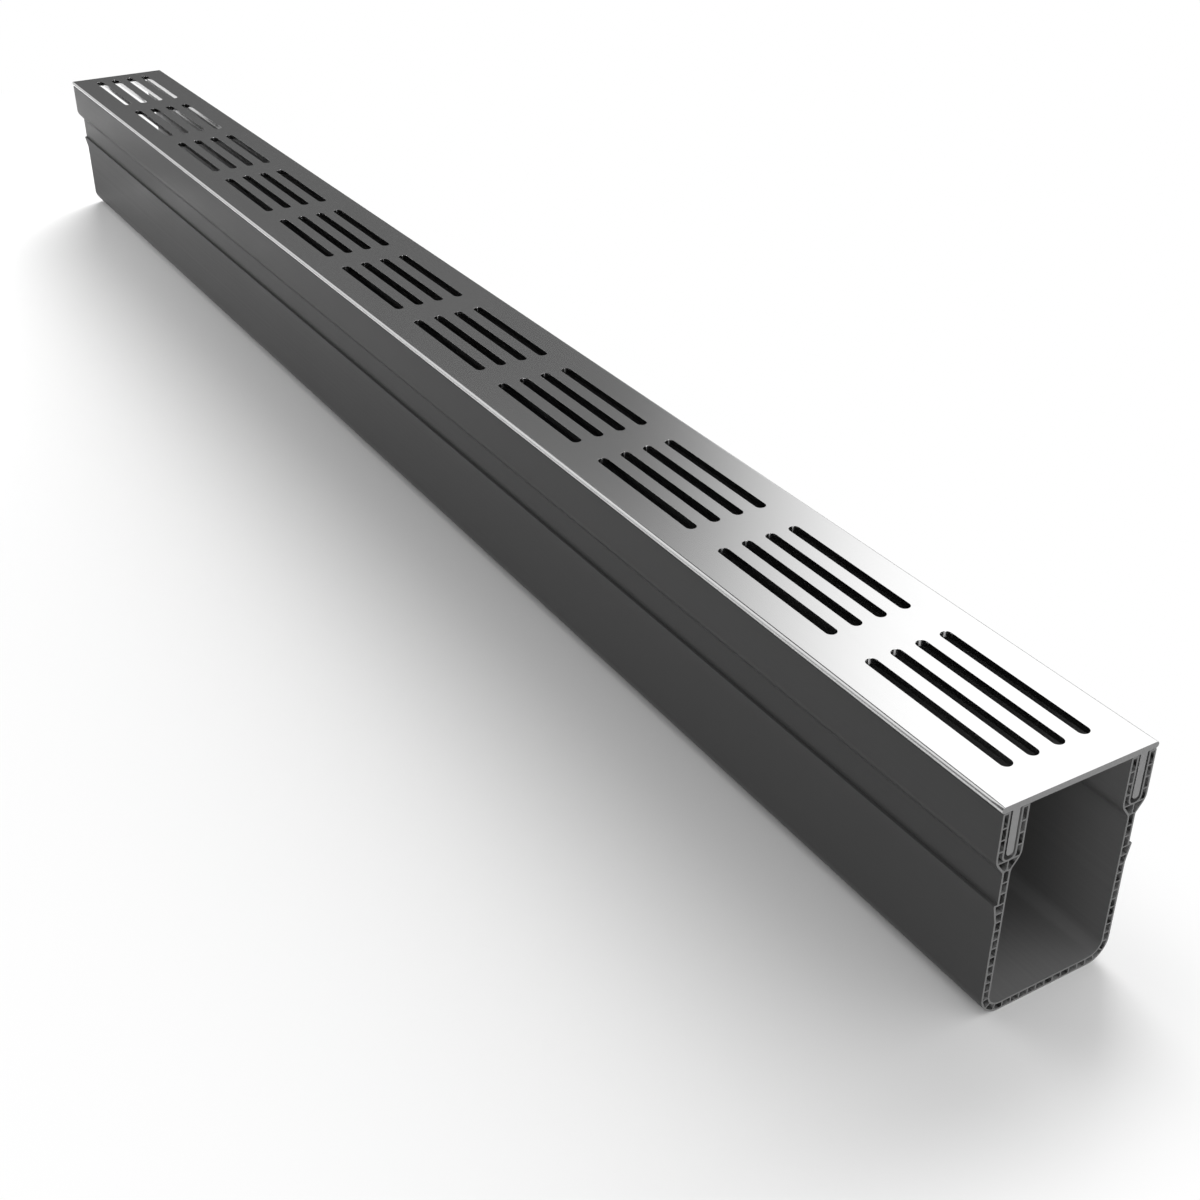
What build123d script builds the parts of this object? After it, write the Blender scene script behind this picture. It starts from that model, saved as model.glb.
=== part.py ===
from build123d import *
import os

# Threshold channel drain: a twin-wall plastic channel with a lift-out slotted grate.
# X runs along the channel, Y across it and Z up. The origin is the middle of its underside.
# Every size is in millimetres.

# The run
run_length = 1000.0

# The channel's walls and floor, as seen on a cut end
channel_width = 58.9
channel_height = 89.4
wall = 3.5
floor_thickness = 3.7
bottom_outer_radius = 9.0
bottom_inner_radius = 5.4

# The ledge that keys each side into the concrete
ledge_height = 50.8
ledge_reach = 1.5
ledge_taper = 7.8
ledge_edge_radius = 0.25

# The grate's plate and its two legs
plate_thickness = 2.6
plate_overhang = 0.7
plate_edge_radius = 1.25
leg_thickness = 3.1
leg_length = 18.65
leg_root_radius = 0.3

# The forked top of each wall, whose pocket takes a leg
prong = 3.2
prong_edge_radius = 0.3
prong_outer_radius = 0.6
pocket_side_clearance = 0.8
pocket_end_clearance = 1.55
shoulder_below_pocket = 0.2
shoulder_radius = 6.5
neck_taper = 5.0
neck_outer_radius = 0.8
neck_inner_radius = 4.0

# The skins of the hollow wall and the webs that join them like rungs
skin = 0.75
web = 0.55
first_rung_drop = 6.2
prong_rung_pitch = 4.7
neck_rung_pitch = 4.4
wall_rung_pitch = 3.9
chevron_rise = 0.6

# The slots through the plate: groups along the run, rows across it
slot_length = 71.75
slot_width = 4.85
group_pitch = 90.17
row_pitch = 11.29
rows = 4
least_end_margin = 8.0
pattern_shift = -1.6

# Places worked out from the sizes, on the +Y half of the section
half_width = channel_width / 2
wall_inner = half_width - wall
wall_middle = half_width - wall / 2

pocket_width = leg_thickness + 2 * pocket_side_clearance
pocket_depth = leg_length + pocket_end_clearance
pocket_outer = wall_middle + pocket_width / 2
pocket_inner = wall_middle - pocket_width / 2
pocket_floor = channel_height - pocket_depth
pocket_radius = 0.43 * pocket_width

fork_outer = pocket_outer + prong
fork_inner = pocket_inner - prong
shoulder_height = pocket_floor - shoulder_below_pocket
neck_height = shoulder_height - neck_taper

plate_top = channel_height + plate_thickness
plate_half_width = fork_outer + plate_overhang
leg_outer = wall_middle + leg_thickness / 2
leg_inner = wall_middle - leg_thickness / 2
leg_tip = channel_height - leg_length
leg_end_radius = 0.48 * leg_thickness

# Where the webs start and stop, at the middle of the wall's or floor's thickness
first_rung_height = channel_height - first_rung_drop
pocket_web_height = pocket_floor - skin / 2
ledge_web_height = ledge_height - skin + web / 2
floor_middle = floor_thickness / 2
corner_middle_radius = (bottom_outer_radius + bottom_inner_radius) / 2


def both_sides(corners):
    """The corners of the +Y side of a section, then their mirror images, as one closed outline."""
    return corners + [((-y, z), radius) for (y, z), radius in reversed(corners)]


def filled(corners):
    """A face from corners that each carry their own fillet radius."""
    points = [point for point, _ in corners]
    radii = [radius for _, radius in corners]
    return make_face(FilletPolyline(*points, radius=radii, close=True))


def inset(corners, distance):
    """An anticlockwise outline moved inwards, with its fillets changed to keep the distance even."""
    points = [Vector(point) for point, _ in corners]
    moved = []
    for i, (_, radius) in enumerate(corners):
        arriving = (points[i] - points[i - 1]).normalized()
        leaving = (points[(i + 1) % len(points)] - points[i]).normalized()
        inwards = [Vector(-edge.Y, edge.X) for edge in (arriving, leaving)]
        mitre = (inwards[0] + inwards[1]) * (distance / (1 + inwards[0].dot(inwards[1])))
        place = points[i] + mitre
        convex = arriving.cross(leaving).Z > 0
        grown = radius - distance if convex else radius + distance
        moved.append(((place.X, place.Y), max(grown, 0) if radius else 0))
    return moved


def along_the_run(section):
    """A section drawn with Y across and Z up, extruded over the whole run."""
    return extrude(Plane.YZ * section, amount=run_length / 2, both=True)


def channel_corners():
    """The channel's outline on its cut end: floor, walls, ledges and forked tops."""
    return both_sides([
        ((half_width, 0), bottom_outer_radius),
        ((half_width, ledge_height - ledge_taper), 0),
        ((half_width + ledge_reach, ledge_height), ledge_edge_radius),
        ((half_width, ledge_height), 0),
        ((half_width, neck_height), neck_outer_radius),
        ((fork_outer, shoulder_height), shoulder_radius),
        ((fork_outer, channel_height), prong_outer_radius),
        ((pocket_outer, channel_height), prong_edge_radius),
        ((pocket_outer, pocket_floor), pocket_radius),
        ((pocket_inner, pocket_floor), pocket_radius),
        ((pocket_inner, channel_height), prong_edge_radius),
        ((fork_inner, channel_height), prong_edge_radius),
        ((fork_inner, shoulder_height), shoulder_radius),
        ((wall_inner, neck_height), neck_inner_radius),
        ((wall_inner, floor_thickness), bottom_inner_radius),
    ])


def strut(start, end):
    """One straight web between two points of the section."""
    return trace(Line(start, end), web)


def rungs(path, pitch, reach):
    """Webs square to a path through the middle of the wall, evenly spaced, about a pitch apart."""
    cells = round(path.length / pitch)
    webs = []
    for i in range(1, cells + 1):
        distance = i * path.length / cells
        middle = path.position_at(distance, position_mode=PositionMode.LENGTH)
        along = path.tangent_at(distance, position_mode=PositionMode.LENGTH)
        across = Vector(along.Y, -along.X) * reach
        webs.append(strut(middle - across, middle + across))
    return webs


def prong_webs(middle):
    """The rungs inside one prong, from the first one down to the web at the pocket's floor."""
    path = Line((middle, first_rung_height), (middle, pocket_web_height))
    first = strut((middle - prong / 2, first_rung_height), (middle + prong / 2, first_rung_height))
    return [first, *rungs(path, prong_rung_pitch, prong / 2)]


def neck_webs():
    """The web level with the pocket's floor, the post under it and the chevron at the neck."""
    foot = (wall_middle, neck_height + chevron_rise)
    return [
        strut((fork_outer, pocket_web_height), (fork_inner, pocket_web_height)),
        strut((wall_middle, pocket_web_height), foot),
        strut(foot, (half_width, neck_height)),
        strut(foot, (wall_inner, neck_height)),
    ]


def upper_wall_webs():
    """The rungs from the neck down to the one in line with the ledge's top."""
    path = Line((wall_middle, neck_height), (wall_middle, ledge_web_height))
    return rungs(path, neck_rung_pitch, wall / 2)


def lower_wall_webs():
    """The rungs from the ledge down the wall, round the bottom corner and in to the floor's middle."""
    corner = (wall_middle, floor_middle)
    path = FilletPolyline(
        (wall_middle, ledge_web_height), corner, (0, floor_middle), radius=corner_middle_radius
    )
    return rungs(path, wall_rung_pitch, max(wall, floor_thickness))


def channel_webs():
    """Every web of the section, on both sides."""
    half = [
        *prong_webs(fork_outer - prong / 2),
        *prong_webs(fork_inner + prong / 2),
        *neck_webs(),
        *upper_wall_webs(),
        *lower_wall_webs(),
    ]
    return half + [mirror(each, Plane.YZ) for each in half]


def channel_body():
    """The channel: two skins joined by webs, with the cells between them open at both ends."""
    corners = channel_corners()
    cells = filled(inset(corners, skin)) - channel_webs()
    return along_the_run(filled(corners) - cells)


def grate_corners():
    """The grate's outline on its cut end: the plate with its rounded edges, and its two legs."""
    return both_sides([
        ((leg_inner, channel_height), leg_root_radius),
        ((leg_inner, leg_tip), leg_end_radius),
        ((leg_outer, leg_tip), leg_end_radius),
        ((leg_outer, channel_height), leg_root_radius),
        ((plate_half_width, channel_height), plate_edge_radius),
        ((plate_half_width, plate_top), plate_edge_radius),
    ])


def grate_slots():
    """The round-ended slots, cut through the plate from its underside."""
    groups = int((run_length - slot_length - 2 * least_end_margin) // group_pitch) + 1
    grid = GridLocations(group_pitch, row_pitch, groups, rows)
    plan = Sketch() + grid * SlotOverall(slot_length, slot_width)
    return extrude(Pos(pattern_shift, 0, channel_height) * plan, amount=plate_thickness)


def grate():
    """The grate: one extruded profile with its slots cut through the plate."""
    return along_the_run(filled(grate_corners())) - grate_slots()


def save(part, name):
    """Write one sub-part as a STEP file of its own."""
    part.label = name
    export_step(part, f"parts/{name}.step")


os.makedirs("parts", exist_ok=True)
save(channel_body(), "channel_body")
save(grate(), "grate")
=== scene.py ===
import logging
import math
from dataclasses import dataclass
from enum import Enum

import bmesh
import bpy
import numpy as np
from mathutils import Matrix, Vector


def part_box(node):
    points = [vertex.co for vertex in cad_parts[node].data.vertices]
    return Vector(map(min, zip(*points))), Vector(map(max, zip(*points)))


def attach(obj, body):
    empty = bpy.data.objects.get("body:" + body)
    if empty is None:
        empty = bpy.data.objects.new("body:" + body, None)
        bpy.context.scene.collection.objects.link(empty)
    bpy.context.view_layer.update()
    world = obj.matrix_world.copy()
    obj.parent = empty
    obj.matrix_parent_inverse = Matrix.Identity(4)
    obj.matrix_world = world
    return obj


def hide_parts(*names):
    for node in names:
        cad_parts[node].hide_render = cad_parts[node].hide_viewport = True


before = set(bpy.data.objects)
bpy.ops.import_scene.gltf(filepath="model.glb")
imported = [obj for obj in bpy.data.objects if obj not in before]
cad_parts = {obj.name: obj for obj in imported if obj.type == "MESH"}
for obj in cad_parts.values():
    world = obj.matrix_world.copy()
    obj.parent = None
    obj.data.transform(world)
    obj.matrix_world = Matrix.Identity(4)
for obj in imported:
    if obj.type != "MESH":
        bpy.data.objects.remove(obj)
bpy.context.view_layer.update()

Array = np.ndarray
Colour = tuple[float, float, float, float]
MM = 0.001
FACE_MARGIN = 0.06 * MM
SAME_PLACE = 0.001 * MM
MERGE_DISTANCE = 0.0005 * MM
TINY = 1e-12
BACKDROP_RADIANCE = 1.0
IN_CELL = "in_cell"

log = logging.getLogger("threshold_drain")


def grey(level: float) -> Colour:
    """An opaque neutral colour."""
    return (level, level, level, 1.0)


class Grain(Enum):
    """How many times a metre a pattern repeats along X, Y and Z, which draws its marks out one way."""

    BRUSHED = (14.0, 5200.0, 5200.0)
    EXTRUDED = (1.6, 900.0, 900.0)
    ROLLED = (5.0, 90.0, 90.0)
    SAWN = (400.0, 4200.0, 260.0)
    CLOUDED = (9.0, 26.0, 26.0)
    PAINTED_LIGHT_GRAIN = (90.0, 330.0, 330.0)


class Value:
    """A number that varies over a surface: an output socket with arithmetic that adds Math nodes."""

    def __init__(self, nodes: "NodeSet", socket: bpy.types.NodeSocket) -> None:
        """Keeps the socket and the tree that it belongs to."""
        self.nodes = nodes
        self.socket = socket

    def math(self, operation: str, *others: "float | Value") -> "Value":
        """A Math node on this value and the others, in that order."""
        return self.nodes.math(operation, self, *others)

    def __add__(self, other: "float | Value") -> "Value":
        """This value plus another."""
        return self.math("ADD", other)

    def __sub__(self, other: "float | Value") -> "Value":
        """This value minus another."""
        return self.math("SUBTRACT", other)

    def __rsub__(self, other: "float | Value") -> "Value":
        """Another value minus this one."""
        return self.nodes.math("SUBTRACT", other, self)

    def __mul__(self, other: "float | Value") -> "Value":
        """This value times another."""
        return self.math("MULTIPLY", other)

    def __gt__(self, other: "float | Value") -> "Value":
        """1 where this value is above the other, and 0 elsewhere."""
        return self.math("GREATER_THAN", other)

    __radd__ = __add__
    __rmul__ = __mul__


class NodeSet:
    """The nodes of one material or world, added one call at a time."""

    def __init__(self, tree: bpy.types.NodeTree) -> None:
        """Empties the tree, so that it holds only what is added here."""
        self.tree = tree
        self.tree.nodes.clear()

    def add(self, kind: str, settings: dict | None = None, inputs: dict | None = None,
            output: int | str = 0) -> Value:
        """Adds one node.

        Args:
            kind: the node's type name.
            settings: the node's own options, such as a Math node's operation.
            inputs: a number, a colour or a Value for each socket, by name or index.
            output: the output that is wanted.

        Returns:
            The wanted output as a Value.
        """
        node = self.tree.nodes.new(kind)
        for name, setting in (settings or {}).items():
            setattr(node, name, setting)
        for key, given in (inputs or {}).items():
            if isinstance(given, Value):
                self.tree.links.new(given.socket, node.inputs[key])
            else:
                node.inputs[key].default_value = given
        return Value(self, node.outputs[output]) if node.outputs else Value(self, None)

    def math(self, operation: str, *terms: "float | Value") -> Value:
        """A Math node on up to three terms."""
        return self.add("ShaderNodeMath", {"operation": operation}, dict(enumerate(terms)))

    def between(self, value: Value, low: float, high: float) -> Value:
        """0 below the low mark, 1 above the high one, and a smooth rise in between."""
        marks = {"Value": value, "From Min": low, "From Max": high}
        return self.add("ShaderNodeMapRange", {"interpolation_type": "SMOOTHSTEP"}, marks)

    def mixed(self, factor: Value, first: "Colour | Value", second: "Colour | Value") -> Value:
        """A colour that goes from the first to the second as the factor goes from 0 to 1."""
        inputs = {0: factor, 6: first, 7: second}
        return self.add("ShaderNodeMix", {"data_type": "RGBA"}, inputs, output=2)

    def place(self) -> Value:
        """The point on the object in its own coordinates, in metres."""
        return self.add("ShaderNodeTexCoord", output="Object")

    def part_of(self, vector: Value, axis: str) -> Value:
        """One coordinate of a vector: X, Y or Z."""
        return self.add("ShaderNodeSeparateXYZ", inputs={"Vector": vector}, output=axis)

    def streaks(self, grain: Grain, detail: float = 2.0) -> Value:
        """Noise drawn out by a grain, from 0 to 1."""
        mapped = self.add("ShaderNodeMapping", inputs={"Vector": self.place(), "Scale": grain.value})
        noise = {"Vector": mapped, "Scale": 1.0, "Detail": detail, "Roughness": 0.6}
        return self.add("ShaderNodeTexNoise", inputs=noise, output="Fac")


@dataclass(frozen=True)
class Finish:
    """What every finish of the drain has: a name, the record's slot and how its sawn ends look."""

    name: str
    slot: str
    colour: Colour
    roughness: float
    sawn_colour: Colour
    sawn_roughness: float
    half_run: float

    def new_material(self) -> tuple[bpy.types.Material, NodeSet]:
        """An empty material and its node set."""
        material = bpy.data.materials.new(self.name)
        material.use_nodes = True
        return material, NodeSet(material.node_tree)

    def sawn(self, nodes: NodeSet) -> Value:
        """1 on the two sawn ends of the run, and 0 along it."""
        along = nodes.part_of(nodes.place(), "X").math("ABSOLUTE")
        return along > self.half_run - FACE_MARGIN


@dataclass(frozen=True)
class BrushedAluminium(Finish):
    """Satin anodised aluminium, very finely brushed along the run."""

    top: float
    underside: float
    slotted_half_width: float
    punched_painted_shade_colour: Colour
    punched_roughness: float
    tint: float = 0.05
    roughness_spread: float = 0.06
    sawn_roughness_spread: float = 0.25
    relief: float = 0.004 * MM
    relief_strength: float = 0.35
    saw_mark_height: float = 3.0

    def punched(self, nodes: NodeSet) -> Value:
        """1 on the sheared walls of the slots, and 0 on the faces that the die leaves smooth."""
        place = nodes.place()
        height = nodes.part_of(place, "Z")
        below_top = (self.top - height) > FACE_MARGIN
        above_underside = (height - self.underside) > FACE_MARGIN
        across = nodes.part_of(place, "Y").math("ABSOLUTE")
        return below_top * above_underside * ((self.slotted_half_width - across) > 0.0)

    def material(self) -> bpy.types.Material:
        """Builds the material.

        Returns:
            Metal whose fine grain shifts its tint, its roughness and its relief a little, with
            shinier slot walls whose darker colour is painted shade, and dull ends.
        """
        material, nodes = self.new_material()
        sawn = self.sawn(nodes)
        brushed = nodes.streaks(Grain.BRUSHED, detail=4.0)
        clouded = nodes.streaks(Grain.CLOUDED)
        saw_marks = nodes.streaks(Grain.SAWN)

        shade = 1 - self.tint * (brushed + clouded - 1)
        along = nodes.mixed(shade, grey(0.0), self.colour)
        punched = self.punched(nodes)
        # Painted shade: the slot walls get a darker colour.
        worked = nodes.mixed(punched, along, self.punched_painted_shade_colour)
        colour = nodes.mixed(sawn, worked, self.sawn_colour)

        smooth = self.roughness + self.roughness_spread * (brushed - 0.5)
        smooth = smooth + punched * (self.punched_roughness - smooth)
        rough = self.sawn_roughness + self.sawn_roughness_spread * (saw_marks - 0.5)
        roughness = smooth + sawn * (rough - smooth)

        height = brushed * (1 - punched)
        height = height + sawn * (saw_marks * self.saw_mark_height - height)
        bump = nodes.add("ShaderNodeBump", inputs={
            "Height": height, "Strength": self.relief_strength, "Distance": self.relief,
        })
        shader = nodes.add("ShaderNodeBsdfPrincipled", inputs={
            "Base Color": colour, "Metallic": 1.0, "Roughness": roughness, "Normal": bump,
        })
        nodes.add("ShaderNodeOutputMaterial", inputs={"Surface": shader})
        return material


@dataclass(frozen=True)
class ExtrudedPlastic(Finish):
    """Fine matt plastic with the faint lengthwise lines that a die leaves, and paler sawn ends."""

    painted_light_inner_colour: Colour
    inner_half_width: float
    inner_floor: float
    painted_light_cell_colour: Colour
    painted_shade_cell_colour: Colour
    painted_light_inner_depth: float = 45.0 * MM
    inner_margin: float = 0.1 * MM
    painted_light_cell_depth: float = 3.0 * MM
    painted_light_patches: tuple[float, float] = (0.32, 0.62)
    paler: float = 1.35
    line_share: float = 0.6
    specular: float = 0.18
    roughness_spread: float = 0.12
    sawn_roughness_spread: float = 0.2
    line_relief: float = 0.010 * MM
    relief_strength: float = 0.4
    wave_height: float = 2.0
    saw_mark_height: float = 4.0

    def inside(self, nodes: NodeSet) -> Value:
        """Where painted light goes: 1 where the waterway's faces meet a cut, falling to 0 further in and
        on all other faces.
        """
        place = nodes.place()
        across = nodes.part_of(place, "Y").math("ABSOLUTE")
        within = (self.inner_half_width + self.inner_margin - across) > 0.0
        above = (nodes.part_of(place, "Z") - (self.inner_floor - self.inner_margin)) > 0.0
        along = nodes.part_of(place, "X").math("ABSOLUTE")
        return within * above * nodes.between(along, self.half_run - self.painted_light_inner_depth, self.half_run)

    def in_cells(self, nodes: NodeSet) -> Value:
        """The colour inside the hollow cells: painted light in patches by a cut, and painted shade
        further in.
        """
        along = nodes.part_of(nodes.place(), "X").math("ABSOLUTE")
        close = nodes.between(along, self.half_run - self.painted_light_cell_depth, self.half_run)
        painted_light_patches = close * nodes.between(nodes.streaks(Grain.PAINTED_LIGHT_GRAIN), *self.painted_light_patches)
        return nodes.mixed(painted_light_patches, self.painted_shade_cell_colour, self.painted_light_cell_colour)

    def material(self) -> bpy.types.Material:
        """Builds the material.

        Returns:
            Dark plastic with lines along the run, cloudy gloss, paler sawn ends, painted light on the
            waterway by the cuts, and painted light and painted shade in the cells.
        """
        material, nodes = self.new_material()
        sawn = self.sawn(nodes)
        lines = nodes.streaks(Grain.EXTRUDED, detail=3.0)
        waves = nodes.streaks(Grain.ROLLED)
        clouded = nodes.streaks(Grain.CLOUDED)
        saw_marks = nodes.streaks(Grain.SAWN)

        # Painted light: the waterway's faces are paler near each cut, fading further in.
        base = nodes.mixed(self.inside(nodes), self.colour, self.painted_light_inner_colour)
        paler = nodes.add("ShaderNodeVectorMath", {"operation": "SCALE"}, {
            0: base, "Scale": self.paler,
        })
        mottled = self.line_share * lines + (1 - self.line_share) * clouded
        along = nodes.mixed(mottled, base, paler)
        in_cell = nodes.add("ShaderNodeAttribute", {"attribute_name": IN_CELL}, output="Fac")
        # Painted light in patches by a cut and painted shade deeper in the cells.
        along = nodes.mixed(in_cell, along, self.in_cells(nodes))
        colour = nodes.mixed(sawn, along, self.sawn_colour)

        smooth = self.roughness + self.roughness_spread * (lines + clouded - 1)
        rough = self.sawn_roughness + self.sawn_roughness_spread * (saw_marks - 0.5)
        roughness = smooth + sawn * (rough - smooth)

        height = lines + self.wave_height * waves + sawn * (saw_marks * self.saw_mark_height)
        bump = nodes.add("ShaderNodeBump", inputs={
            "Height": height, "Strength": self.relief_strength, "Distance": self.line_relief,
        })
        shader = nodes.add("ShaderNodeBsdfPrincipled", inputs={
            "Base Color": colour, "Roughness": roughness, "Specular IOR Level": self.specular,
            "Normal": bump,
        })
        nodes.add("ShaderNodeOutputMaterial", inputs={"Surface": shader})
        return material


@dataclass
class Patch:
    """A surface worked out on a grid of two parameters, with the quads between its points."""

    points: Array
    faces: list[list[int]]

    @classmethod
    def grid(cls, points: Array, closed: bool = False) -> "Patch":
        """Joins the points of a grid.

        Args:
            points: an array of rows by columns by 3.
            closed: whether the last column joins the first.

        Returns:
            The patch.
        """
        rows, columns = points.shape[:2]
        index = np.arange(rows * columns).reshape(rows, columns)
        if closed:
            index = np.concatenate([index, index[:, :1]], axis=1)
        corners = (index[:-1, :-1], index[1:, :-1], index[1:, 1:], index[:-1, 1:])
        quads = np.stack(corners, axis=-1).reshape(-1, 4)
        return cls(points.reshape(-1, 3), quads.tolist())

    @classmethod
    def cap(cls, loop: Array) -> "Patch":
        """One flat face inside a closed loop of points."""
        return cls(loop, [list(range(len(loop)))])


def piece_from(name: str, patches: list[Patch], sharp_degrees: float = 35.0) -> bpy.types.Object:
    """Makes one closed piece from patches whose edges meet.

    Args:
        name: the piece's name.
        patches: its surfaces; points in the same place are merged.
        sharp_degrees: edges that turn by more than this stay crisp.

    Returns:
        The new object, at the origin, with its faces pointing outwards.
    """
    starts = np.cumsum([0] + [len(patch.points) for patch in patches])
    points = np.concatenate([patch.points for patch in patches])
    faces = [[int(start) + corner for corner in face]
             for start, patch in zip(starts, patches) for face in patch.faces]
    mesh = bpy.data.meshes.new(name)
    mesh.from_pydata(points.tolist(), [], faces)
    shape = bmesh.new()
    shape.from_mesh(mesh)
    bmesh.ops.remove_doubles(shape, verts=shape.verts, dist=MERGE_DISTANCE)
    bmesh.ops.recalc_face_normals(shape, faces=shape.faces)
    shape.to_mesh(mesh)
    shape.free()
    mesh.shade_smooth()
    mesh.set_sharp_from_angle(angle=math.radians(sharp_degrees))
    piece = bpy.data.objects.new(name, mesh)
    bpy.context.scene.collection.objects.link(piece)
    return piece


def rounded(corners: Array, radii: Array, steps: int = 12, guard: float = 0.02 * MM) -> Array:
    """An open path whose inner corners are rounded.

    At each corner the arc starts and ends r tan(turn / 2) away from it. Its points are the start
    turned about the arc's centre by equal steps. A guard point just outside each end of the arc
    keeps the shading of the flats beside it flat.

    Args:
        corners: n by 2 points, the two ends included.
        radii: n radii, of which the first and last aren't used; 0 keeps a corner sharp.
        steps: how many chords each arc has.
        guard: how far outside the arc a guard point lies.

    Returns:
        The path's points, an array of m by 2.
    """
    edges = np.diff(corners, axis=0)
    edges = edges / np.linalg.norm(edges, axis=1, keepdims=True)
    arriving, leaving = edges[:-1], edges[1:]
    cross = arriving[:, 0] * leaving[:, 1] - arriving[:, 1] * leaving[:, 0]
    turn = np.arctan2(cross, np.sum(arriving * leaving, axis=1))
    radius = radii[1:-1]
    reach = (radius * np.tan(np.abs(turn) / 2))[:, None]
    middle = corners[1:-1]
    start = middle - arriving * reach
    left = np.stack([-arriving[:, 1], arriving[:, 0]], axis=1)
    centre = start + left * (radius * np.sign(turn))[:, None]
    angle = turn[:, None] * np.linspace(0, 1, steps + 1)
    arm = (start - centre)[:, None, :]
    cos, sin = np.cos(angle), np.sin(angle)
    arc = np.stack([
        arm[..., 0] * cos - arm[..., 1] * sin,
        arm[..., 0] * sin + arm[..., 1] * cos,
    ], axis=-1) + centre[:, None, :]
    margin = np.where(radius > 0, guard, 0.0)[:, None]
    before = (start - arriving * margin)[:, None, :]
    after = (middle + leaving * (reach + margin))[:, None, :]
    inner = np.concatenate([before, arc, after], axis=1).reshape(-1, 2)
    path = np.concatenate([corners[:1], inner, corners[-1:]])
    apart = np.linalg.norm(np.diff(path, axis=0), axis=1) > SAME_PLACE
    return path[np.concatenate([[True], apart])]


def inset_loop(loop: Array, distance: float) -> Array:
    """A closed anticlockwise loop moved inwards along the mitre of the two edges at each point."""
    arriving = loop - np.roll(loop, 1, axis=0)
    arriving = arriving / np.linalg.norm(arriving, axis=1, keepdims=True)
    leaving = np.roll(arriving, -1, axis=0)
    normals = [np.stack([-edge[:, 1], edge[:, 0]], axis=1) for edge in (arriving, leaving)]
    share = 1 + np.sum(normals[0] * normals[1], axis=1, keepdims=True)
    return loop + distance * (normals[0] + normals[1]) / share


def section_at(section: Array, x: float) -> Array:
    """A section's points (Y, Z) placed across the run at one X."""
    return np.column_stack([np.full(len(section), x), section])


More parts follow.
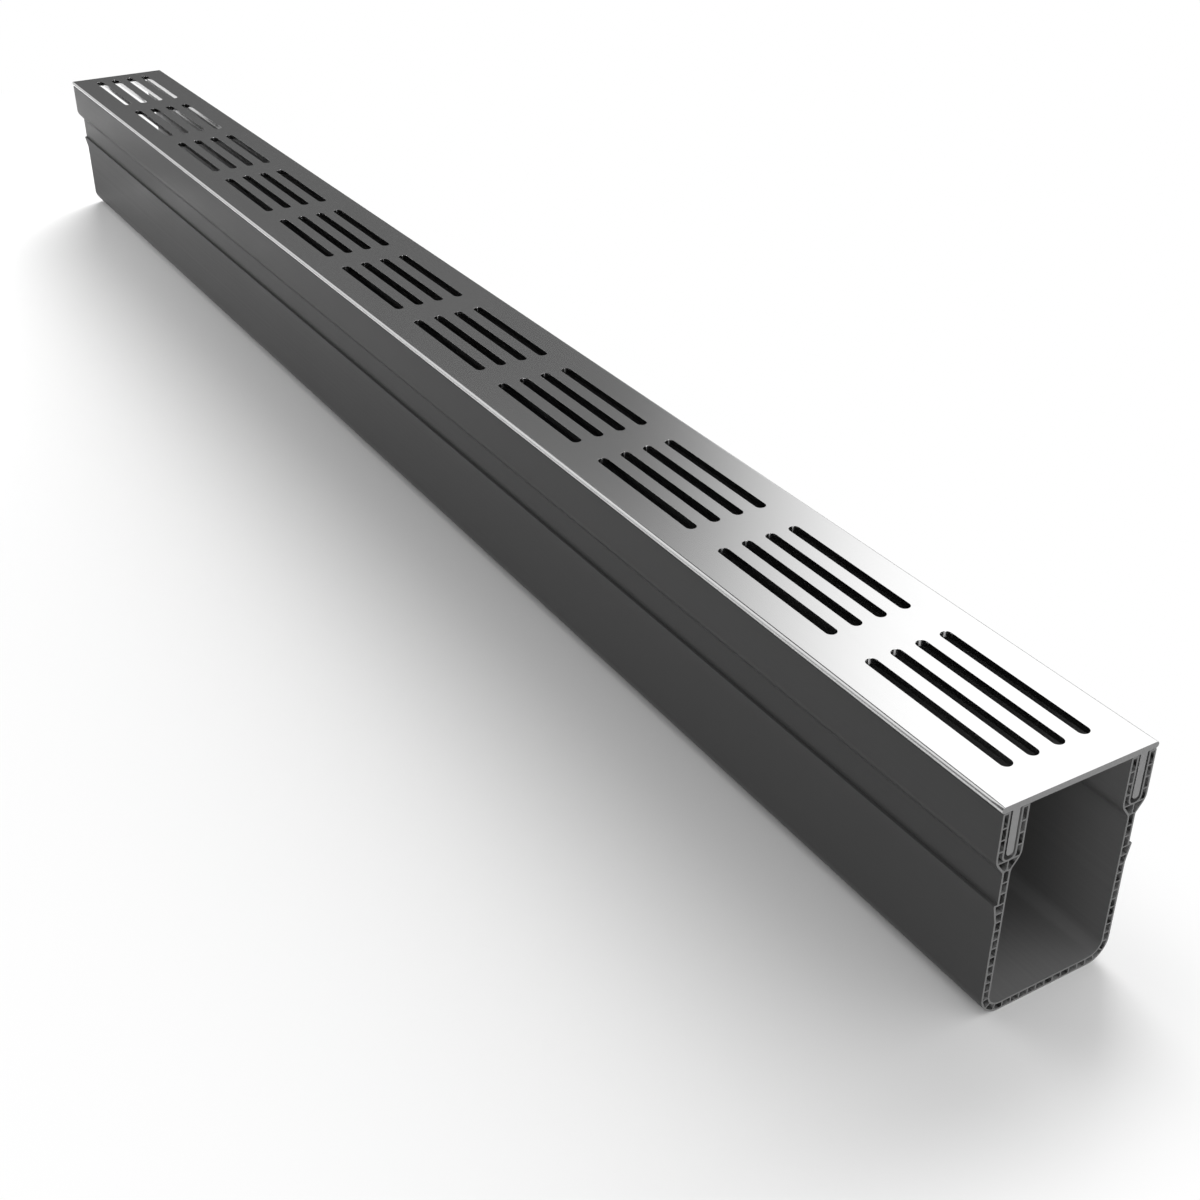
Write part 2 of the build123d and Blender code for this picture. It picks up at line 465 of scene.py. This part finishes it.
@dataclass
class Grate:
    """The aluminium grate: a round-edged plate, two legs and four rows of slots in groups."""

    half_run: float
    half_width: float
    top: float
    underside: float
    leg_tip: float
    finish: BrushedAluminium
    edge_radius: float = 1.25 * MM
    leg_middle: float = 27.7 * MM
    leg_thickness: float = 3.1 * MM
    leg_root_radius: float = 0.3 * MM
    leg_end_share: float = 0.48
    slot_length: float = 71.75 * MM
    slot_width: float = 4.85 * MM
    group_pitch: float = 90.17 * MM
    row_pitch: float = 11.29 * MM
    groups: int = 11
    rows: int = 4
    pattern_shift: float = -1.6 * MM
    rim_radius: float = 0.03 * MM
    burr_radius: float = 0.03 * MM
    slot_guard: float = 0.03 * MM
    end_break: float = 0.12 * MM
    end_guard_share: float = 0.2
    arc_points: int = 7
    side_points: int = 9
    rim_points: int = 5
    end_points: int = 4

    def slot_ring(self) -> tuple[Array, Array, Array]:
        """One slot's outline and the edge of the rectangle of plate that it stands in.

        The outline is two straight sides and two half circles. On a half circle, the rectangle's
        point lies on the same ray from the half circle's centre. On a straight side, it lies
        square to the side.

        Returns:
            The outline, its outward directions and the rectangle's points, each n by 2, all
            anticlockwise about the middle of the slot.
        """
        radius = self.slot_width / 2
        straight = (self.slot_length - self.slot_width) / 2
        reach = np.array([self.group_pitch / 2 - straight, self.row_pitch / 2])
        corner = math.atan2(reach[1], reach[0])
        quarter = math.pi / 2
        angles = np.concatenate([
            np.linspace(-quarter, -corner, self.arc_points)[:-1],
            np.linspace(-corner, corner, self.arc_points)[:-1],
            np.linspace(corner, quarter, self.arc_points),
        ])
        ray = np.stack([np.cos(angles), np.sin(angles)], axis=1)
        hit = np.min(reach / np.maximum(np.abs(ray), TINY), axis=1, keepdims=True)
        centre = np.array([straight, 0.0])
        across = np.linspace(straight, -straight, self.side_points)[1:-1]
        up = np.tile([0.0, 1.0], (len(across), 1))
        side = np.stack([across, np.zeros(len(across))], axis=1)

        outline = np.concatenate([centre + radius * ray, side + radius * up])
        outwards = np.concatenate([ray, up])
        rectangle = np.concatenate([centre + hit * ray, side + reach[1] * up])
        return tuple(np.concatenate([half, -half]) for half in (outline, outwards, rectangle))

    def group_places(self) -> Array:
        """The X of the middle of each group of slots."""
        steps = np.arange(self.groups) - (self.groups - 1) / 2
        return self.pattern_shift + steps * self.group_pitch

    def row_places(self) -> Array:
        """The Y of the middle of each row of slots."""
        return (np.arange(self.rows) - (self.rows - 1) / 2) * self.row_pitch

    def slots(self) -> list[Patch]:
        """The plate round every slot, with each slot's wall.

        A ring goes from the rectangle's edge on the underside in to the slot, round a small burr,
        up the wall, over the softened rim and out to the rectangle's edge on top. At each step it
        is the slot's outline moved outwards by a distance, at a height. A guard ring just outside
        the burr and the rim keeps the shading of the flat plate flat.
        """
        outline, outwards, rectangle = self.slot_ring()
        quarter = np.linspace(0, math.pi / 2, self.rim_points)
        burr, rim, guard = self.burr_radius, self.rim_radius, self.slot_guard
        away = np.concatenate([
            [burr + guard], burr * (1 - np.sin(quarter)), rim * (1 - np.cos(quarter)), [rim + guard],
        ])
        height = np.concatenate([
            [self.underside], self.underside + burr * (1 - np.cos(quarter)),
            self.top - rim * (1 - np.sin(quarter)), [self.top],
        ])
        rings = outline + away[:, None, None] * outwards
        rings = np.concatenate([rectangle[None], rings, rectangle[None]])
        height = np.concatenate([[self.underside], height, [self.top]])
        levels = np.broadcast_to(height[:, None, None], rings.shape[:2] + (1,))
        slot = np.concatenate([rings, levels], axis=2)
        return [Patch.grid(slot + np.array([x, y, 0.0]), closed=True)
                for x in self.group_places() for y in self.row_places()]

    def side_path(self) -> Array:
        """The +Y side of the section, from the slotted band on top, round the edge and the leg, back."""
        band = self.rows * self.row_pitch / 2
        outer = self.leg_middle + self.leg_thickness / 2
        inner = self.leg_middle - self.leg_thickness / 2
        corners = np.array([
            (band, self.top),
            (self.half_width, self.top),
            (self.half_width, self.underside),
            (outer, self.underside),
            (outer, self.leg_tip),
            (inner, self.leg_tip),
            (inner, self.underside),
            (band, self.underside),
        ])
        end_radius = self.leg_end_share * self.leg_thickness
        radii = np.array([
            0, self.edge_radius, self.edge_radius, self.leg_root_radius,
            end_radius, end_radius, self.leg_root_radius, 0,
        ])
        return rounded(corners, radii)

    def stations(self) -> Array:
        """Every X where a slot's rectangle has a point on its long edge, and the ends of the run."""
        rectangle = self.slot_ring()[2]
        edge = rectangle[rectangle[:, 1] > self.row_pitch / 2 - SAME_PLACE, 0]
        inside = (self.group_places()[:, None] + edge).ravel()
        end = self.half_run - self.end_break
        return self.distinct(np.concatenate([[-end], inside, [end]]))

    def band_places(self) -> Array:
        """Every Y where a slot's rectangle has a point on its short edge, over all the rows."""
        rectangle = self.slot_ring()[2]
        edge = rectangle[rectangle[:, 0] > self.group_pitch / 2 - SAME_PLACE, 1]
        return self.distinct((self.row_places()[:, None] + edge).ravel())

    @staticmethod
    def distinct(places: Array) -> Array:
        """The places in rising order, without those that repeat."""
        ordered = np.sort(places)
        return ordered[np.concatenate([[True], np.diff(ordered) > SAME_PLACE])]

    def sides(self) -> list[Patch]:
        """Both sides of the section, carried along the run."""
        path = self.side_path()
        along = self.stations()
        patches = []
        for hand in (1, -1):
            points = np.empty((len(along), len(path), 3))
            points[..., 0] = along[:, None]
            points[..., 1] = hand * path[:, 0]
            points[..., 2] = path[:, 1]
            patches.append(Patch.grid(points))
        return patches

    def plain_bands(self) -> list[Patch]:
        """The plate between the last slots and each end of the run, top and underside."""
        along = self.stations()
        across = self.band_places()
        patches = []
        for pair in (along[:2], along[-2:]):
            for height in (self.top, self.underside):
                x, y = np.meshgrid(pair, across, indexing="ij")
                patches.append(Patch.grid(np.stack([x, y, np.full_like(x, height)], axis=2)))
        return patches

    def outline(self) -> Array:
        """The whole section as one closed loop, anticlockwise with Y to the right and Z up."""
        path = self.side_path()
        across = self.band_places()[1:-1]
        top = np.column_stack([across, np.full(len(across), self.top)])
        under = np.column_stack([across[::-1], np.full(len(across), self.underside)])
        mirrored = path * np.array([-1, 1])
        return np.concatenate([path, under, mirrored[::-1], top])[::-1]

    def ends(self) -> list[Patch]:
        """The sawn ends, each with its sharp edge taken off by a quarter round.

        The rings are the section's loop moved inwards as the quarter round goes out, and a guard
        ring a little further in keeps the shading of the cap flat.
        """
        loop = self.outline()
        turn = np.linspace(0, math.pi / 2, self.end_points)
        out = np.append(self.half_run - self.end_break * (1 - np.sin(turn)), self.half_run)
        guard = self.end_break * (1 + self.end_guard_share)
        inwards = np.append(self.end_break * (1 - np.cos(turn)), guard)
        patches = []
        for hand in (1, -1):
            rings = np.stack([section_at(inset_loop(loop, d), hand * x) for d, x in zip(inwards, out)])
            patches += [Patch.grid(rings, closed=True), Patch.cap(rings[-1])]
        return patches

    def build(self) -> bpy.types.Object:
        """Makes the grate, dressed, in place of its plain solid."""
        patches = self.slots() + self.sides() + self.plain_bands() + self.ends()
        piece = piece_from("slotted_grate", patches)
        piece.data.materials.append(self.finish.material())
        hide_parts("grate")
        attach(piece, "root")
        return piece


@dataclass
class Channel:
    """The plastic channel, whose solid has the right shape and is only dressed."""

    finish: ExtrudedPlastic
    sharp_degrees: float = 32.0
    widest_cell: float = 4.3 * MM
    ray_lift: float = 0.02 * MM

    def marked(self, nodes: NodeSet, geometry: Value) -> Value:
        """Marks the walls of the hollow cells: faces that look straight at another face close by."""
        normal = nodes.add("GeometryNodeInputNormal")
        lift = nodes.add("ShaderNodeVectorMath", {"operation": "SCALE"}, {
            0: normal, "Scale": self.ray_lift,
        })
        start = nodes.add("ShaderNodeVectorMath", {"operation": "ADD"}, {
            0: nodes.add("GeometryNodeInputPosition"), 1: lift,
        })
        faces_wall = nodes.add("GeometryNodeRaycast", inputs={
            "Target Geometry": geometry, "Source Position": start, "Ray Direction": normal,
            "Ray Length": self.widest_cell,
        }, output="Is Hit")
        return nodes.add("GeometryNodeStoreNamedAttribute", {"domain": "FACE"}, {
            "Geometry": geometry, "Name": IN_CELL, "Value": faces_wall,
        })

    def smoothing(self) -> bpy.types.NodeTree:
        """A modifier that joins the loose triangles, marks the cells and shades curves smooth."""
        tree = bpy.data.node_groups.new("smooth_curves", "GeometryNodeTree")
        for side in ("INPUT", "OUTPUT"):
            tree.interface.new_socket("Geometry", in_out=side, socket_type="NodeSocketGeometry")
        nodes = NodeSet(tree)
        start = nodes.add("NodeGroupInput")
        merged = nodes.add("GeometryNodeMergeByDistance", inputs={
            "Geometry": start, "Distance": MERGE_DISTANCE,
        })
        angle = nodes.add("GeometryNodeInputMeshEdgeAngle")
        crisp = nodes.add("FunctionNodeCompare", {"operation": "LESS_THAN"}, {
            0: angle, 1: math.radians(self.sharp_degrees),
        })
        curved = nodes.add("GeometryNodeSetShadeSmooth", {"domain": "EDGE"}, {
            "Geometry": self.marked(nodes, merged), "Shade Smooth": crisp,
        })
        shaded = nodes.add("GeometryNodeSetShadeSmooth", {"domain": "FACE"}, {"Geometry": curved})
        nodes.add("NodeGroupOutput", inputs={0: shaded})
        return tree

    def build(self) -> bpy.types.Object:
        """Dresses the channel's own solid."""
        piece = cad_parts["channel_body"]
        piece.data.materials.clear()
        piece.data.materials.append(self.finish.material())
        modifier = piece.modifiers.new("smooth_curves", "NODES")
        modifier.node_group = self.smoothing()
        return piece


@dataclass(frozen=True)
class Softbox:
    """A square area light that points at the middle of the drain's underside."""

    name: str
    place: tuple[float, float, float]
    size: float
    power: float
    mirrored: bool = True

    def build(self) -> None:
        """Hangs the light, which shows in reflections only if it is mirrored."""
        light = bpy.data.lights.new(self.name, "AREA")
        light.size = self.size
        light.energy = self.power
        lamp = bpy.data.objects.new(self.name, light)
        lamp.location = self.place
        aim = -lamp.location
        lamp.rotation_euler = aim.to_track_quat("-Z", "Y").to_euler()
        lamp.visible_glossy = self.mirrored
        bpy.context.scene.collection.objects.link(lamp)


@dataclass(frozen=True)
class Panel:
    """A soft-edged patch of the room with its own radiance, from its heights to straight overhead."""

    azimuth: float
    half_angle: float
    softness: float
    heights: tuple[float, float]
    radiance: float
    zenith_guard: float = 1e-6

    def mask(self, nodes: NodeSet, direction: Value) -> Value:
        """1 towards the panel and 0 away from it.

        Args:
            nodes: the world's nodes.
            direction: the way from the middle of the room, as a unit vector.

        Returns:
            How close the heading is to the panel's, as a smooth step, times a smooth rise with
            height between the two heights (the sine of the angle above the floor).
        """
        east, north, up = (nodes.part_of(direction, axis) for axis in "XYZ")
        facing = math.radians(self.azimuth)
        towards = east * math.cos(facing) + north * math.sin(facing)
        level_part = nodes.math("SQRT", east * east + north * north + self.zenith_guard)
        closeness = towards.math("DIVIDE", level_part)
        near, far = (math.cos(math.radians(self.half_angle + d))
                     for d in (-self.softness, self.softness))
        return nodes.between(closeness, far, near) * nodes.between(up, *self.heights)


@dataclass(frozen=True)
class Floor:
    """A wide flat floor, pale by the drain and as bright as the backdrop far from it.

    The pairs of marks are where a change along X or Y starts and ends. The front is at -Y, and the
    drain's near end is at +X.
    """

    half_run: float
    half_side: float = 12.0
    tone: float = 0.69
    mirrored_painted_shade_tone: float = 0.30
    bounced_tone: float = 0.36
    front_marks: tuple[float, float] = (-0.28, -0.12)
    back_marks: tuple[float, float] = (0.05, 0.15)
    near_end_marks: tuple[float, float] = (0.40, 0.50)
    strip_start_marks: tuple[float, float] = (-0.72, -0.62)
    strip_end_marks: tuple[float, float] = (-0.53, -0.45)
    cleared: tuple[float, float] = (0.09, 0.36)
    faded: tuple[float, float] = (1.5, 4.0)
    haste: float = 4.0

    def reflected_at_own_tone(self, nodes: NodeSet, along: Value, across: Value) -> Value:
        """1 where reflections see the floor's own tone, and 0 where they see a painted darker one.

        The darker parts are what lies well in front of the drain, what lies behind it up to its
        near end, and a strip just past its far end.
        """
        strip = nodes.between(along, *self.strip_start_marks)
        strip = strip * (1 - nodes.between(along, *self.strip_end_marks))
        behind = nodes.between(across, *self.back_marks)
        behind = behind * (1 - nodes.between(along, *self.near_end_marks))
        return nodes.between(across, *self.front_marks) * (1 - strip) * (1 - behind)

    def colour(self, nodes: NodeSet, along: Value, across: Value) -> Value:
        """The floor's tone, which is lower in bounced light, and painted darker where reflections see
        some of its parts.
        """
        mirrored = nodes.add("ShaderNodeLightPath", output="Is Glossy Ray")
        # Painted shade that only reflections see: glossy rays meet a darker tone on some parts of the
        # floor.
        dimmed = mirrored * (1 - self.reflected_at_own_tone(nodes, along, across))
        tone = nodes.mixed(dimmed, grey(self.tone), grey(self.mirrored_painted_shade_tone))
        bounced = nodes.add("ShaderNodeLightPath", output="Is Diffuse Ray")
        return nodes.mixed(bounced, tone, grey(self.bounced_tone))

    def whiteness(self, nodes: NodeSet, along: Value, across: Value) -> Value:
        """How far the floor has faded into the backdrop, from 0 by the drain to 1.

        It rises with the root of the sum of the squares of how far a point lies past an end of the
        run and off to a side, which count more past the near end and behind. What the camera sees
        whitens close to the drain, and what light and reflections meet only far away.
        """
        past_far = (0.0 - along - self.half_run).math("MAXIMUM", 0.0)
        past_near = (along - self.half_run).math("MAXIMUM", 0.0)
        past_run = past_far + past_near * self.haste
        off_side = (0.0 - across).math("MAXIMUM", across * self.haste)
        distance = nodes.math("SQRT", past_run * past_run + off_side * off_side)
        seen = nodes.add("ShaderNodeLightPath", output="Is Camera Ray")
        cleared = seen * nodes.between(distance, *self.cleared)
        return nodes.between(distance, *self.faded).math("MAXIMUM", cleared)

    def material(self) -> bpy.types.Material:
        """A matt floor that goes over into an even glow."""
        material = bpy.data.materials.new("pale_floor")
        material.use_nodes = True
        nodes = NodeSet(material.node_tree)
        along = nodes.part_of(nodes.place(), "X")
        across = nodes.part_of(nodes.place(), "Y")
        matt = nodes.add("ShaderNodeBsdfDiffuse", inputs={"Color": self.colour(nodes, along, across)})
        glow = nodes.add("ShaderNodeEmission", inputs={"Strength": BACKDROP_RADIANCE})
        shader = nodes.add("ShaderNodeMixShader", inputs={
            0: self.whiteness(nodes, along, across), 1: matt, 2: glow,
        })
        nodes.add("ShaderNodeOutputMaterial", inputs={"Surface": shader})
        return material

    def build(self) -> None:
        """Lays the floor under the drain."""
        side = np.linspace(-self.half_side, self.half_side, 3)
        x, y = np.meshgrid(side, side, indexing="ij")
        floor = piece_from("floor", [Patch.grid(np.stack([x, y, np.zeros_like(x)], axis=2))])
        floor.data.materials.append(self.material())


@dataclass(frozen=True)
class Studio:
    """A dim room with a pale floor, bright and dark panels, soft lights and the camera.

    A panel covers those before it in the list.
    """

    floor: Floor
    room_radiance: float = 0.135
    skirting_radiance: float = 0.03
    skirting_heights: tuple[float, float] = (0.0, 0.26)
    panels: tuple[Panel, ...] = (
        Panel(160.0, 18.0, 4.0, (0.50, 0.56), 0.7),
        Panel(161.0, 22.0, 3.0, (0.57, 0.61), 0.0),
        Panel(204.0, 27.0, 4.0, (0.0, 0.1), 0.72),
        Panel(208.0, 24.0, 3.0, (0.40, 0.56), 0.90),
        Panel(55.0, 87.0, 6.0, (0.06, 0.42), 1.3),
    )
    softboxes: tuple[Softbox, ...] = (
        Softbox("overhead_softbox", (-2.1, 1.45, 1.25), 2.2, 130.0, mirrored=False),
        Softbox("front_softbox", (2.1, -0.5, 0.40), 0.9, 26.0),
        Softbox("side_softbox", (-0.6, -0.5, 0.25), 0.35, 2.0, mirrored=False),
    )
    camera_place: tuple[float, float, float] = (779.8 * MM, -347.03 * MM, 414.71 * MM)
    camera_azimuth: float = 58.903
    camera_elevation: float = 31.662
    lens: float = 50.0
    sensor: float = 36.0
    nearest: float = 0.01
    farthest: float = 100.0

    def world(self) -> None:
        """Lights the room: dim all round and darker near the floor, with the panels over that.

        The camera itself sees an even backdrop instead.
        """
        world = bpy.data.worlds.new("studio")
        bpy.context.scene.world = world
        world.use_nodes = True
        nodes = NodeSet(world.node_tree)
        direction = nodes.add("ShaderNodeTexCoord", output="Generated")
        up = nodes.part_of(direction, "Z")
        risen = nodes.between(up, *self.skirting_heights)
        level = risen * (self.room_radiance - self.skirting_radiance) + self.skirting_radiance
        for panel in self.panels:
            level = level + (panel.radiance - level) * panel.mask(nodes, direction)
        seen = nodes.add("ShaderNodeLightPath", output="Is Camera Ray")
        strength = level + seen * (BACKDROP_RADIANCE - level)
        light = nodes.add("ShaderNodeBackground", inputs={"Color": grey(1.0), "Strength": strength})
        nodes.add("ShaderNodeOutputWorld", inputs={"Surface": light})

    def camera(self) -> None:
        """Stands the camera where the photograph was taken from."""
        camera = bpy.data.cameras.new("camera")
        camera.lens = self.lens
        camera.sensor_width = self.sensor
        camera.clip_start = self.nearest
        camera.clip_end = self.farthest
        stand = bpy.data.objects.new("camera", camera)
        stand.location = self.camera_place
        tilt = math.radians(90 - self.camera_elevation)
        stand.rotation_euler = (tilt, 0.0, math.radians(self.camera_azimuth))
        bpy.context.scene.collection.objects.link(stand)
        bpy.context.scene.camera = stand

    def build(self) -> None:
        """Sets up the floor, the light and the camera."""
        self.floor.build()
        self.world()
        for softbox in self.softboxes:
            softbox.build()
        self.camera()
        bpy.context.scene.view_settings.view_transform = "Standard"


def report(piece: bpy.types.Object) -> None:
    """Logs one finished piece with its size."""
    dimensions = ", ".join(f"{side / MM:.1f}" for side in piece.dimensions)
    log.info("%s: %d faces, %s mm", piece.name, len(piece.data.polygons), dimensions)


def main() -> None:
    """Builds the drain and the studio, and reports each piece."""
    logging.basicConfig(level=logging.INFO, format="%(name)s: %(message)s")
    grate_low, grate_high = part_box("grate")
    channel_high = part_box("channel_body")[1]
    aluminium = BrushedAluminium(
        name="brushed_aluminium",
        slot="grate_aluminium",
        colour=grey(0.82),
        roughness=0.18,
        sawn_colour=grey(0.24),
        sawn_roughness=0.5,
        half_run=grate_high.x,
        top=grate_high.z,
        underside=channel_high.z,
        slotted_half_width=24.0 * MM,
        # painted shade on the slot walls
        punched_painted_shade_colour=grey(0.45),
        punched_roughness=0.14,
    )
    plastic = ExtrudedPlastic(
        name="extruded_plastic",
        slot="channel_plastic",
        colour=grey(0.050),
        roughness=0.36,
        sawn_colour=grey(0.12),
        sawn_roughness=0.7,
        half_run=channel_high.x,
        # painted light on the waterway's faces near the cuts
        painted_light_inner_colour=grey(0.112),
        inner_half_width=25.95 * MM,
        inner_floor=3.7 * MM,
        # painted light in the cells by a cut, and painted shade deeper in
        painted_light_cell_colour=grey(0.20),
        painted_shade_cell_colour=grey(0.012),
    )
    grate = Grate(
        half_run=grate_high.x,
        half_width=grate_high.y,
        top=grate_high.z,
        underside=channel_high.z,
        leg_tip=grate_low.z,
        finish=aluminium,
    )
    report(grate.build())
    report(Channel(plastic).build())
    Studio(Floor(half_run=channel_high.x)).build()


if __name__ == "__main__":
    main()
